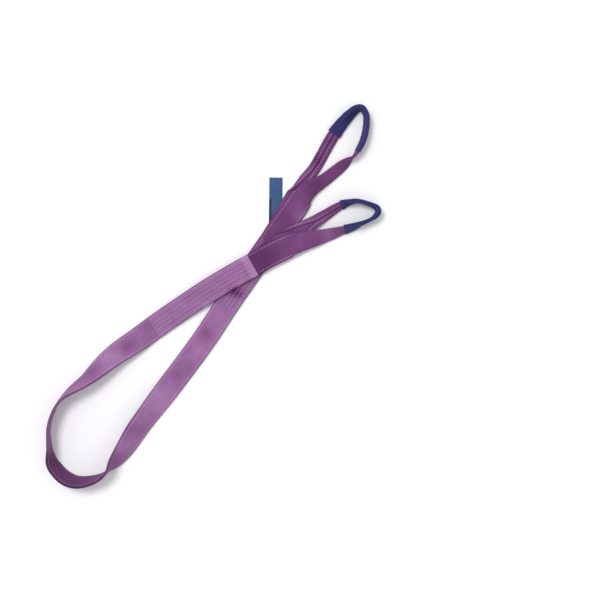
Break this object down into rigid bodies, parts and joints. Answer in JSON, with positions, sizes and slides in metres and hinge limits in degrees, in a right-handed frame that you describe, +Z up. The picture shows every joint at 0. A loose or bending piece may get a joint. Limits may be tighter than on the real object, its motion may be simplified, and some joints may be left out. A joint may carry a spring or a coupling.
{
  "type": "flat web sling",
  "caption": "Flat two-ply textile lifting sling with a soft sleeved eye at each end and a sewn-in label, lying folded in half.",
  "frame": {"origin": "centre of the whole sling's box as it lies, on the surface it rests on", "axes": "+Y from the bight towards the two eyes, +X to the right seen from above with the eyes away, +Z up off the surface"},
  "size_m": [0.2196, 1.01, 0.0503],
  "materials": {
    "webbing": "woven violet webbing, matt with a faint sheen",
    "sleeve": "close woven dark indigo sleeve, matt",
    "thread": "pale lilac sewing thread",
    "label": "blue coated label, slightly ribbed, left blank"
  },
  "bodies": {
    "sling": {"left_leg_lower_ply": "webbing", "left_leg_upper_ply": "webbing", "left_leg_lap_ply": "webbing", "left_leg_edge_seams": "thread", "bight_inner_ply": "webbing", "bight_outer_ply": "webbing", "bight_edge_seams": "thread", "right_leg_lower_ply": "webbing", "right_leg_upper_ply": "webbing", "right_leg_edge_seams": "thread", "eye_2_root_stitching": "thread", "eye_1_root_stitching": "thread", "label_tab": "label"},
    "eye_1": {"eye_1_left_leg": "webbing", "eye_1_sleeved_web": "webbing", "eye_1_right_leg": "webbing", "eye_1_sleeve": "sleeve", "eye_1_sleeve_seam": "thread"},
    "eye_2": {"eye_2_upper_leg": "webbing", "eye_2_sleeved_web": "webbing", "eye_2_lower_leg": "webbing", "eye_2_sleeve": "sleeve", "eye_2_sleeve_seam": "thread"},
    "label": {"label_flap": "label"}
  },
  "joints": [
    {"name": "eye_1_lift", "type": "hinge", "parent": "sling", "child": "eye_1", "pos_m": [-0.03008, 0.26027, 0.0065], "axis": [1, 0, 0], "range_deg": [0, 80]},
    {"name": "eye_2_lift", "type": "hinge", "parent": "sling", "child": "eye_2", "pos_m": [-0.00358, 0.10627, 0.0127], "axis": [0.8984, -0.4392, 0], "range_deg": [0, 80]},
    {"name": "label_flip", "type": "hinge", "parent": "sling", "child": "label", "pos_m": [-0.05235, 0.21975, 0.0011], "axis": [-0.2516, 0.9678, 0], "range_deg": [0, 90]}
  ]
}
